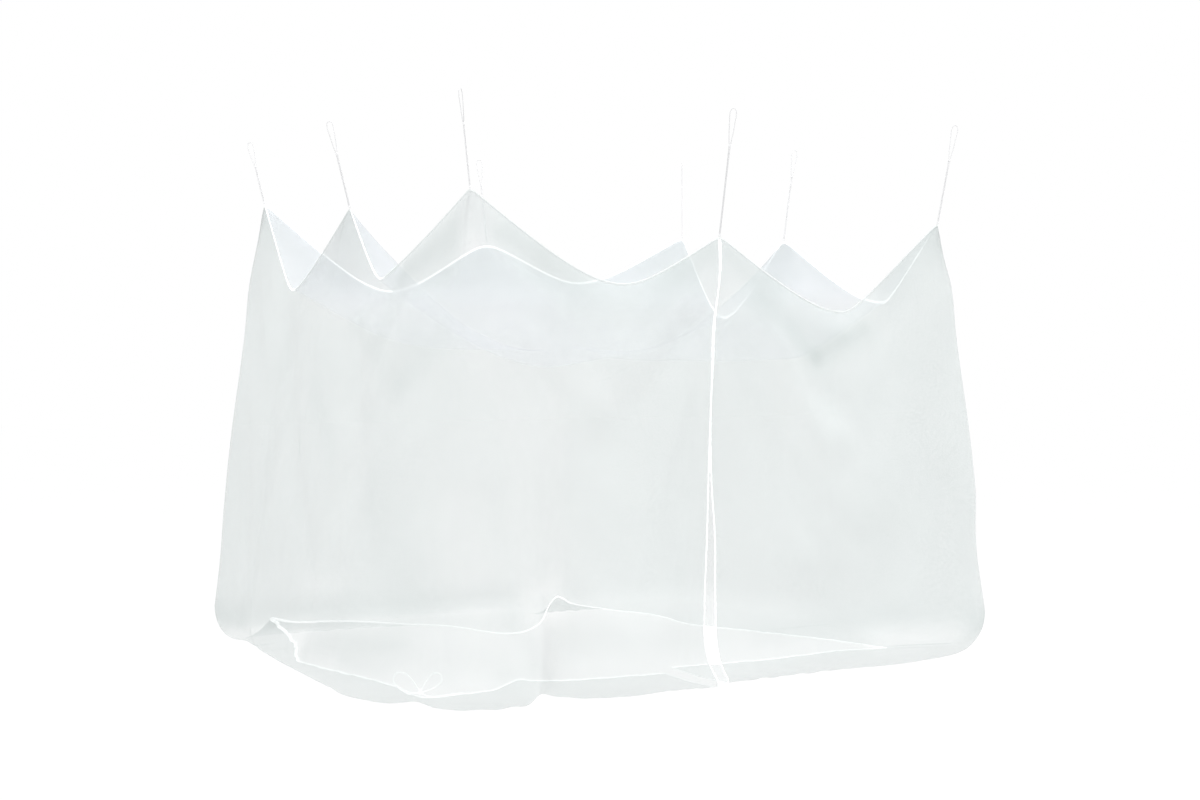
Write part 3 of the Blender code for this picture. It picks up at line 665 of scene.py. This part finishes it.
def grid_faces(rows, columns):
    """The quads of an open grid whose points run along its rows."""
    at = np.arange(rows * columns).reshape(rows, columns)
    return np.stack([at[:-1, :-1], at[:-1, 1:], at[1:, 1:], at[1:, :-1]], -1).reshape(-1, 4)


def number_points(piece, attribute, numbers):
    """Store one number per point under that attribute's name."""
    layer = piece.data.attributes.new(attribute, "FLOAT", "POINT")
    layer.data.foreach_set("value", numbers.astype(np.float32).ravel())


def netting_piece(name, surface, finish, density_and_shade):
    """One sheet of netting from a grid of points. Its flat place is the length along its first
    row and the length down each column."""
    down = running_down(surface)
    along = np.broadcast_to(running(surface[0]), down.shape)
    piece = make_piece(name, surface.reshape(-1, 3), [grid_faces(*down.shape)],
                       np.stack([along, down], -1).reshape(-1, 2), finish)
    number_points(piece, "density_and_shade", density_and_shade)
    return piece


def swept_rings(path, across, high, wide, thick, closed=False):
    """Rings of points along a path: at each point of the path, wide times the across way plus
    thick times the high way. wide and thick hold a row of numbers for each point, or one row
    for all. An open band ends in fans of triangles about its path's two ends."""
    rings = (path[:, None] + wide[..., None] * across[:, None] + thick[..., None] * high[:, None])
    count, sides = rings.shape[:2]
    at = np.arange(count * sides).reshape(count, sides)
    ahead = np.roll(at, -1, axis=0) if closed else at[1:]
    here = at if closed else at[:-1]
    faces = np.stack([here, np.roll(here, -1, axis=1), np.roll(ahead, -1, axis=1), ahead], -1)
    points, quads = rings.reshape(-1, 3), faces.reshape(-1, 4)
    fans = np.empty((0, 3), dtype=int)
    if not closed:
        points = np.vstack([points, path[:1], path[-1:]])
        first, last = at[0], at[-1]
        middle = np.full(sides, count * sides)
        fans = np.vstack([np.stack([np.roll(first, -1), first, middle], -1),
                          np.stack([last, np.roll(last, -1), middle + 1], -1)])
    halves = points[np.vstack([quads[:, :3], quads[:, [0, 2, 3]], fans])]
    volume = (halves[:, 0] * np.cross(halves[:, 1], halves[:, 2])).sum()
    way = 1 if volume > 0 else -1
    return points, [quads[:, ::way], fans[:, ::way]]


def ring_flat(at, sides, closed=False):
    """The flat place of each ring point: the length along, and the share round the ring."""
    flat = np.stack(np.broadcast_arrays(at[:, None], np.linspace(0, 1, sides)[None]), -1)
    flat = flat.reshape(-1, 2)
    if not closed:
        flat = np.vstack([flat, [[at[0], 0], [at[-1], 0]]])
    return flat


def swept_piece(name, path, at, across, high, wide, thick, finish, slot, closed=False):
    """A band or cord as one piece."""
    points, faces = swept_rings(path, across, high, wide, thick, closed)
    return make_piece(name, points, faces, ring_flat(at, wide.shape[1], closed), finish)


def angles_round(sides):
    """The angles of a ring's points, as one row."""
    return np.linspace(0, 2 * math.pi, sides, endpoint=False)[None]


def square_to(path, reference):
    """The reference way made square to a path, and the way square to both."""
    ahead = unit(np.gradient(path, axis=0))
    across = unit(reference - (ahead @ reference)[:, None] * ahead)
    return across, np.cross(ahead, across)


def cord_rings(path, reference):
    """A twisted cord: its radius is greatest on each strand and least between strands, as the
    absolute cosine of the angle less the twist."""
    path, at = even_line(path, CORD_STEP)
    angle = angles_round(CORD_SIDES)
    twist = 2 * math.pi * at[:, None] / CORD_PITCH
    lobes = abs(np.cos((angle - twist) * CORD_STRANDS / 2))
    size = CORD_RADIUS * (CORD_LEAST + CORD_LOBE * lobes)
    return path, at, *square_to(path, reference), size * np.cos(angle), size * np.sin(angle)


# ----------
# Finishes.

class Wire:
    """One socket of a material's nodes. Arithmetic on it adds Math nodes."""

    def __init__(self, tree, socket=None):
        self.tree = tree
        self.socket = socket

    def node(self, kind, settings=None, values=None, out=0):
        """Add a node of one kind: its settings first, then its sockets' numbers or wires."""
        made = self.tree.nodes.new("ShaderNode" + kind)
        for name, setting in (settings or {}).items():
            setattr(made, name, setting)
        for name, value in (values or {}).items():
            if isinstance(value, Wire):
                self.tree.links.new(value.socket, made.inputs[name])
            else:
                made.inputs[name].default_value = value
        return Wire(self.tree, made.outputs[out])

    def noise(self, place, scale, detail):
        """A cloud of that scale at a place."""
        return self.node("TexNoise", None, {"Vector": place, "Scale": scale, "Detail": detail})

    def maths(self, operation, *others):
        """A Math node on this wire and others."""
        values = dict(enumerate((self,) + others))
        return self.node("Math", {"operation": operation}, values)

    def __add__(self, other):
        return self.maths("ADD", other)

    __radd__ = __add__

    def __mul__(self, other):
        return self.maths("MULTIPLY", other)

    def __sub__(self, other):
        return self.maths("SUBTRACT", other)

    def __rsub__(self, other):
        return self.node("Math", {"operation": "SUBTRACT"}, {0: other, 1: self})

    def step(self, low, high, at_low=0.0, at_high=1.0):
        """A smooth step from one value to another between two limits."""
        return self.node("MapRange", {"interpolation_type": "SMOOTHSTEP"},
                         {"Value": self, "From Min": low, "From Max": high,
                          "To Min": at_low, "To Max": at_high})

    def mix(self, dark, light):
        """The colour from dark to light that this wire picks."""
        return self.node("Mix", {"data_type": "RGBA"},
                         {0: self, 6: (*dark, 1.0), 7: (*light, 1.0)}, out=2)

    def bump(self, depth, strength):
        """A normal from this wire read as a height."""
        return self.node("Bump", None, {"Height": self, "Distance": depth, "Strength": strength})


def new_finish(name, roughness, sheen=0.0, specular=0.3, glow=0.0):
    """A finish with its constants on the shader's own sockets, and a wire to start from. The
    glow is emission: on the tapes, the hem and the cords it is painted light, which makes
    these whites brighter than the lamps leave them; on the floor it keeps the floor evenly
    bright."""
    material = bpy.data.materials.new(name)
    material.use_nodes = True
    shader = material.node_tree.nodes["Principled BSDF"]
    for socket, value in (("Roughness", roughness), ("Metallic", 0.0),
                          ("Specular IOR Level", specular), ("Sheen Weight", sheen),
                          ("Emission Color", (1.0,) * 4), ("Emission Strength", glow)):
        shader.inputs[socket].default_value = value
    return material, shader, Wire(material.node_tree)


def feed(shader, wires):
    """Link wires to the shader's sockets by name."""
    for name, wire in wires.items():
        wire.tree.links.new(wire.socket, shader.inputs[name])


def flat_place(start):
    """The two flat lengths of a piece, in metres."""
    place = start.node("UVMap", {"uv_map": "flat"})
    along, down = [start.node("SeparateXYZ", None, {0: place}, axis) for axis in "XY"]
    return along, down, place


# The netting's cells, in metres; the height at which yarn turns to hole, and half its ease;
# and how opaque holes and yarn are.
CELL = 0.0021
YARN_EDGE = -0.60
YARN_EASE = 0.80
HOLE_ALPHA = 0.14
YARN_ALPHA = 0.82


def netting_finish(name, dark, light):
    """Knitted netting: three cosines at 120 degrees make a honeycomb of yarn, low on the yarn
    and high in each hole. Slubs make the rows drift. A point attribute widens the yarn where
    cloth is bunched and darkens its base colour there as painted shade of the folds; below 0
    it thins the yarn and paints the colour lighter."""
    material, shader, start = new_finish(name, 0.75, sheen=0.12)
    along, down, place = flat_place(start)
    turn = 4 * math.pi / (math.sqrt(3) * CELL)
    slub = start.noise(place, 140.0, 1.0)
    drift = (slub - 0.5) * 9.0
    across = along * turn + drift
    slant = down * (turn * math.sqrt(3) / 2) - drift
    half = across * 0.5
    comb = across.maths("COSINE") + (slant - half).maths("COSINE") + (slant + half).maths("COSINE")
    density_and_shade = start.node("Attribute", {"attribute_name": "density_and_shade"}, out=2)
    cloud = start.noise(place, 3.1, 3.0)
    edge = comb - density_and_shade * 2.2 - (cloud - 0.5) * 0.5 - (slub - 0.5) * 0.5
    yarn = edge.step(YARN_EDGE - YARN_EASE, YARN_EDGE + YARN_EASE, YARN_ALPHA, HOLE_ALPHA)
    feed(shader, {
        # The base colour is painted darker where the cloth is bunched: painted shade.
        "Base Color": (0.25 + cloud * 0.5 + slub * 0.3 - density_and_shade * 0.4).mix(dark, light),
        "Alpha": yarn,
        "Roughness": slub * 0.2 + 0.65,
        "Normal": (yarn + slub * 0.3).bump(0.0004, 0.35),
    })
    return material


TAPE_RIB = 0.0009
TAPE_STITCH = 0.0042
STITCH_ROWS = (0.10, 0.40, 0.60, 0.90)


def tape_finish(name, dark, light):
    """Woven tape: ribs across it and two rows of lockstitch, whose threads lie as long beads
    between their holes. Round the band its share runs over the face and back. An attribute
    along the band paints shade: where it is 1 the tape is greyed and its glow is taken off."""
    # The tape's glow is painted light that keeps it white.
    material, shader, start = new_finish(name, 0.7, sheen=0.2, glow=0.40)
    along, round_share, place = flat_place(start)
    rib = (along * (2 * math.pi / TAPE_RIB)).maths("SINE") * 0.5 + 0.5
    bead = (along * (math.pi / TAPE_STITCH)).maths("SINE").maths("ABSOLUTE")
    nearest = (round_share - STITCH_ROWS[0]).maths("ABSOLUTE")
    for row in STITCH_ROWS[1:]:
        nearest = nearest.maths("MINIMUM", (round_share - row).maths("ABSOLUTE"))
    thread = nearest.step(0.012, 0.035, 1.0, 0.0) * bead.step(0.15, 0.6)
    wear = start.noise(place, 24.0, 4.0)
    fuzz = start.noise(place, 900.0, 2.0)
    tape_shade = start.node("Attribute", {"attribute_name": "tape_shade"}, out=2)
    tone = (wear * 0.5 + rib * 0.15 + thread * 0.35).step(0.2, 0.7, 0.75, 1.0) - tape_shade * 0.75
    feed(shader, {
        "Base Color": tone.mix(dark, light),
        "Emission Color": 1.0 - tape_shade,
        "Roughness": 0.8 - thread * 0.2,
        "Normal": (rib * 0.3 + thread * 1.4 + fuzz * 0.3).bump(0.0005, 0.6),
    })
    return material


FIBRE_PITCH = 0.0012
FIBRE_SLANT = 5


def cord_finish(name, dark, light, glow=0.0):
    """Twisted white cord: fibres that slant along each strand and a little dust between."""
    material, shader, start = new_finish(name, 0.65, sheen=0.2, glow=glow)
    along, round_share, place = flat_place(start)
    slant = round_share * (2 * math.pi * FIBRE_SLANT)
    fibre = (along * (2 * math.pi / FIBRE_PITCH) + slant).maths("SINE")
    dust = start.noise(place, 60.0, 3.0)
    feed(shader, {
        "Base Color": (dust * 0.7 + fibre * 0.12 + 0.12).step(0.2, 0.75).mix(dark, light),
        "Roughness": dust * 0.2 + 0.55,
        "Normal": (fibre * 0.5 + dust).bump(0.0003, 0.5),
    })
    return material


HEM_STITCH = 0.0045


def hem_finish(name, dark, light):
    """The folded hem: netting two layers deep, close enough to hide its holes, puckered by
    the drawcord, with one row of stitching along its inner edge."""
    # The hem's glow is painted light that keeps it white inside the netting's shade.
    material, shader, start = new_finish(name, 0.75, sheen=0.2, glow=0.18)
    along, round_share, place = flat_place(start)
    pucker = (along * (2 * math.pi / HEM_PUCKER)).maths("SINE") * 0.5 + 0.5
    bead = (along * (math.pi / HEM_STITCH)).maths("SINE").maths("ABSOLUTE").step(0.15, 0.6)
    from_inner = (round_share - 0.5).maths("ABSOLUTE")
    thread = from_inner.step(0.10, 0.13, 1.0, 0.0) * from_inner.step(0.06, 0.09)
    weave = start.noise(place, 700.0, 2.0)
    cloud = start.noise(place, 9.0, 3.0)
    tone = (cloud * 0.5 + pucker * 0.2 + weave * 0.3).step(0.25, 0.7)
    feed(shader, {
        "Base Color": tone.mix(dark, light),
        "Alpha": 0.85 + weave * 0.30,
        "Roughness": weave * 0.2 + 0.65,
        "Normal": (pucker * 0.6 + thread * bead + weave * 0.4).bump(0.0006, 0.7),
    })
    return material


netting_walls = netting_finish("netting_walls", (0.42, 0.46, 0.455), (0.66, 0.70, 0.695))
# The roof's netting has a paler, bluer light colour than the walls': painted light from above.
netting_roof_painted_light = netting_finish("netting_roof_painted_light", (0.42, 0.46, 0.455), (0.70, 0.715, 0.765))
tape_white = tape_finish("binding_tape_white", (0.66, 0.69, 0.685), (0.96, 0.97, 0.97))
hem_white = hem_finish("hem_white", (0.93, 0.94, 0.94), (0.97, 0.98, 0.98))
cord_pale = cord_finish("cord_pale", (0.61, 0.61, 0.615), (0.73, 0.73, 0.74))
# The bow's and the whippings' cords glow: painted light.
cord_white = cord_finish("cord_white", (0.86, 0.87, 0.87), (0.96, 0.97, 0.97), glow=0.35)
cord_thread = cord_finish("cord_thread", (0.74, 0.745, 0.75), (0.85, 0.85, 0.855), glow=0.10)


# ----------
# The camera.

VIEW_DOWN = 1.035
camera_data = bpy.data.cameras.new("camera")
camera_data.lens = 58.14
camera_data.sensor_width = 36.0
camera = bpy.data.objects.new("camera", camera_data)
camera.location = (-3.7996, -5.1107, -0.8376)
camera.rotation_euler = Euler((math.radians(90 - VIEW_DOWN), 0.0, -math.atan2(*VIEW_WAY)))
scene.collection.objects.link(camera)
scene.camera = camera


# ----------
# The cords.

def helix(centre, turn, broad, deep, far, side, up, way):
    """A line wound round a centre, as broad and deep as it says, and so far along the way."""
    return (centre + np.outer(broad * np.cos(turn), side) + np.outer(deep * np.sin(turn), up)
            + np.outer(far, way))


for peak in PEAKS:
    _, rise, side, _ = loop_axes(peak)
    route = loop_route(peak)
    centre = along_route(route, LOOP_DRAWN)
    rings = cord_rings(centre, np.cross(rise, side))
    cord = swept_piece("hanging_loop_" + peak.name, *rings, cord_pale, "cord")
    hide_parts("loop_" + peak.name)
    path = along_route(route, LOOP_POINTS, LOOP_DENSE) + PLACE

bow_centre = along_route(bow_route(), BOW_DRAWN)
rings = cord_rings(bow_centre, np.array(BOW_TOWARDS))
bow = swept_piece("bow_cord", *rings, cord_white, "cord")
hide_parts("drawcord_bow")

# The knot is one cord wound round the bow's strands.
turns = np.linspace(0, 2 * math.pi * KNOT_TURNS, KNOT_DRAWN)
spin = KNOT_RADIUS * (1 - 0.10 * np.cos(turns * 0.5))
knot_line = helix(np.array(BOW_AT) + np.array([0, 0, 0.001]), turns, spin, spin,
                  KNOT_LONG * (turns / turns[-1] - 0.5), BOW_TOWARDS, [0, 0, 1.0], BOW_ACROSS)
rings = cord_rings(knot_line, np.array(BOW_ACROSS))
knot = swept_piece("bow_knot", *rings, cord_white, "cord")
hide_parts("drawcord_knot")
path = along_route(bow_route(), BOW_POINTS) + PLACE


# ----------
# The netting.

seam = seam_line()
places = strip_places()
strip = strip_surface(places, strip_tops(seam))
roof_grid = roof_surface(seam)

# How dense the yarn lies, which also sets painted shade: where the number is above 0 the
# netting's colour is painted darker, and below 0 lighter. Cloth is bunched at the peaks,
# looser at the foot, and bunched again towards the hem; the far walls are denser under the
# roof, and in a band over their foot.
rows_down = running_down(strip)
heights = strip[..., 2]
peak_near = np.exp(-abs(places - np.round(places)) * SPAN_METRES / 0.05)[None]
peak_near = peak_near * np.exp(-rows_down / 0.10)
foot = np.clip((0.07 - heights) / 0.05, 0, 1)
skirt_share = np.clip(1 - (rows_down[-1] - rows_down) / 0.25, 0, 1)
far_low = inside_of(places, 2.9, 4.3, 0.2) * (
    0.25 * np.exp(-((heights - 0.08) / 0.045) ** 2)
    - 0.45 * np.clip((0.035 - heights) / 0.02, 0, 1))
far_top = inside_of(places, 3.1, 6.9, 0.2) * np.clip((heights - 1.25) / 0.10, 0, 1)
density_and_shade = (0.35 * peak_near - 0.10 * foot + far_low + 0.15 * far_top
            + 0.10 * skirt_share ** 2 + (1 - foot) * crease_rise(DENSITY_AND_SHADE_LINES, places, heights))
walls = netting_piece("net_walls", strip, netting_walls, density_and_shade)
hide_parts("walls")

# The roof is loose, but for its peaks, and those at the back and at the left middle most.
# The same number paints the roof's colour lighter where it is loose, as painted light from
# above, and darker at its peaks, as painted shade.
high = np.clip((roof_grid[..., 2] - 1.22) / 0.16, 0, 1)
beyond = np.clip(roof_grid[..., 0] + roof_grid[..., 1] + 0.7, 0, 1)
from_left_peak = roof_grid[..., :2] - peak_point(PEAKS[2])[:2]
beyond += 0.8 * np.exp(-np.sum(from_left_peak ** 2, axis=-1) / 0.08)
density_and_shade = high ** 2 * (3 - 2 * high) * (0.10 + 0.90 * beyond) - 0.34
roof = netting_piece("net_roof", roof_grid, netting_roof_painted_light, density_and_shade)
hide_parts("roof")


def tape_profile(at, wide, thick, sides=10):
    """A folded band's ring: a flattened oval whose width and place waver by a few sines of
    the length, as a sewn tape puckers."""
    angle = angles_round(sides)
    at = at[:, None]
    waver = (sine(at, WAVER_PITCH) + 0.7 * sine(at, WAVER_CROSS, 1.3)) * TAPE_WAVER
    broad = wide / 2 * np.sign(np.cos(angle)) * abs(np.cos(angle)) ** 0.6
    high = thick / 2 * np.sign(np.sin(angle)) * abs(np.sin(angle)) ** 0.8
    return broad * (1 + 0.04 * sine(at, TAPE_SWELL)) + waver, high + waver * 0.8


seam_path, seam_at = even_line(seam[:-1], TAPE_STEP, closed=True)
up = np.array([[0, 0, 1.0]])
out = unit(np.cross(np.roll(seam_path, -1, axis=0) - np.roll(seam_path, 1, axis=0), up))
# Painted shade greys the tape and draws it narrower over much of the front and the left.
tape_shade = np.interp(np.interp(seam_at, running(seam), places), *zip(*TAPE_SHADE_PLACES))[:, None]
wide, thick = tape_profile(seam_at, TAPE_WIDE * (1 - TAPE_SHADE_NARROWS * tape_shade), TAPE_THICK)
roof_tape = swept_piece("roof_seam_tape", seam_path, seam_at, up, out, wide, thick, tape_white,
                        "binding_tape", closed=True)
number_points(roof_tape, "tape_shade", np.broadcast_to(tape_shade, wide.shape))
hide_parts("roof_binding")

for side, end, inner in (("left", 0, 1), ("right", -1, -2)):
    edge = strip[:, end]
    beyond = unit(edge - strip[:, inner])
    down = unit(np.gradient(edge, axis=0))
    beyond[1:] -= (beyond[1:] * down[1:]).sum(axis=1)[:, None] * down[1:]
    beyond = unit(beyond)
    line, at = even_line(edge + beyond * DOOR_TAPE_WIDE / 2, TAPE_STEP)
    along = running(edge)
    across = unit(read_rows(at * along[-1] / at[-1], along, beyond))
    high = unit(np.cross(np.gradient(line, axis=0), across))
    wide, thick = tape_profile(at, DOOR_TAPE_WIDE, TAPE_THICK)
    tape = swept_piece("door_tape_" + side, line, at, across, high, wide, thick, tape_white,
                       "binding_tape")
    # The door tapes carry painted shade as well.
    number_points(tape, "tape_shade", np.full(len(tape.data.vertices), DOOR_TAPE_SHADE))
    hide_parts("door_binding_" + side)

hem_line, hem_at = even_line(strip[-1], HEM_STEP)
skirt_in = unit(strip[-1] - strip[-3])
inner_way = unit(read_rows(hem_at, running(strip[-1]), skirt_in))
above = unit(np.cross(inner_way, np.gradient(hem_line, axis=0)))
above *= np.sign(above[:, 2:3])
angle = angles_round(HEM_SIDES)
pucker = sine(hem_at, HEM_PUCKER, 1.5 * sine(hem_at, 0.07))[:, None]
wide = -HEM_IN + HEM_HALF * np.cos(angle) * (1 + 0.08 * pucker)
thick = (HEM_THIN + HEM_ROUND * (0.5 + 0.5 * np.cos(angle))) * np.sin(angle) + 0.0005 * pucker
foot_hem = swept_piece("foot_hem", hem_line, hem_at, inner_way, above, wide, thick, hem_white,
                       "netting")


# ----------
# Thread whipped round the throat of each loop's eye and round its foot.

WHIP_OFF = 0.004
WHIP_BROAD = 0.0030 * 1.35
WHIP_DEEP = 0.0030 * 0.80
WHIP_PITCH = 0.0013
WHIP_THREAD = 0.0006
WHIP_STEPS = 14
WHIP_SIDES = 6
THROAT_TURNS = 6
FOOT_TURNS = 5


def whipping(centre, way, side, count):
    """The line of a thread wound round both strands: an oval helix about the centre."""
    turn = np.linspace(0, 2 * math.pi * count, count * WHIP_STEPS)
    far = WHIP_PITCH * (turn / (2 * math.pi) - count / 2)
    return helix(centre, turn, WHIP_BROAD, WHIP_DEEP, far, side, np.cross(way, side), way)


def thread_rings(line, reference):
    """A plain round thread along a line."""
    angle = angles_round(WHIP_SIDES)
    return (line, running(line), *square_to(line, reference),
            WHIP_THREAD * np.cos(angle), WHIP_THREAD * np.sin(angle))


def joined(parts):
    """Several swept parts as one set of points, faces and flat places."""
    points, quads, fans, flats, count = [], [], [], [], 0
    for line, at, across, high, wide, thick in parts:
        some, faces = swept_rings(line, across, high, wide, thick)
        points.append(some)
        quads.append(faces[0] + count)
        fans.append(faces[1] + count)
        flats.append(ring_flat(at, wide.shape[1]))
        count += len(some)
    return np.vstack(points), [np.vstack(quads), np.vstack(fans)], np.vstack(flats)


windings = []
for peak in PEAKS:
    foot, rise, side, length = loop_axes(peak)
    throat = foot + rise * (length - peak.eye_long + WHIP_OFF)
    for centre, count in ((throat, THROAT_TURNS), (foot + rise * WHIP_OFF, FOOT_TURNS)):
        windings.append(thread_rings(whipping(centre, rise, side, count), rise))
points, faces, flats = joined(windings)
make_piece("loop_whippings", points, faces, flats, cord_thread)


# ----------
# Floor, light and view.

FLOOR_BELOW = 0.45
FLOOR_REACH = 40.0

# Soft square lamps that face the net's middle: name, place, size and power.
LAMPS_AIM = (0.02, 0.80, -1.0)
LAMPS = (("key", (5.6, -4.2, 1.6), 2.0, 200.0), ("fill", (-6.0, -2.5, 1.8), 3.0, 110.0),
         ("top", (0.0, 0.8, 3.6), 4.0, 150.0))

floor_finish, floor_shader, start = new_finish("floor_pale", 0.9, specular=0.0, glow=0.88)
speck = start.noise(start.node("TexCoord", out="Object"), 2.0, 2.0)
feed(floor_shader, {"Base Color": speck.mix([0.115] * 3, [0.125] * 3)})
floor_mesh = bpy.data.meshes.new("floor")
level = PLACE[2] - FLOOR_BELOW
floor_mesh.from_pydata([(x * FLOOR_REACH, y * FLOOR_REACH, level)
                        for x, y in ((-1, -1), (1, -1), (1, 1), (-1, 1))], [], [(0, 1, 2, 3)])
floor_mesh.materials.append(floor_finish)
floor = bpy.data.objects.new("floor", floor_mesh)
scene.collection.objects.link(floor)

world = bpy.data.worlds.new("studio")
scene.world = world
world.use_nodes = True
sky = world.node_tree.nodes["Background"].inputs
sky["Color"].default_value = (1.0, 1.0, 1.0, 1.0)
sky["Strength"].default_value = 1.0
for name, at, size, power in LAMPS:
    light = bpy.data.lights.new(name, "AREA")
    light.size = size
    light.energy = power
    lamp = bpy.data.objects.new(name, light)
    lamp.location = at
    lamp.rotation_euler = (Vector(LAMPS_AIM) - Vector(at)).to_track_quat("-Z", "Y").to_euler()
    scene.collection.objects.link(lamp)
scene.view_settings.view_transform = "Standard"
scene.view_settings.look = "None"
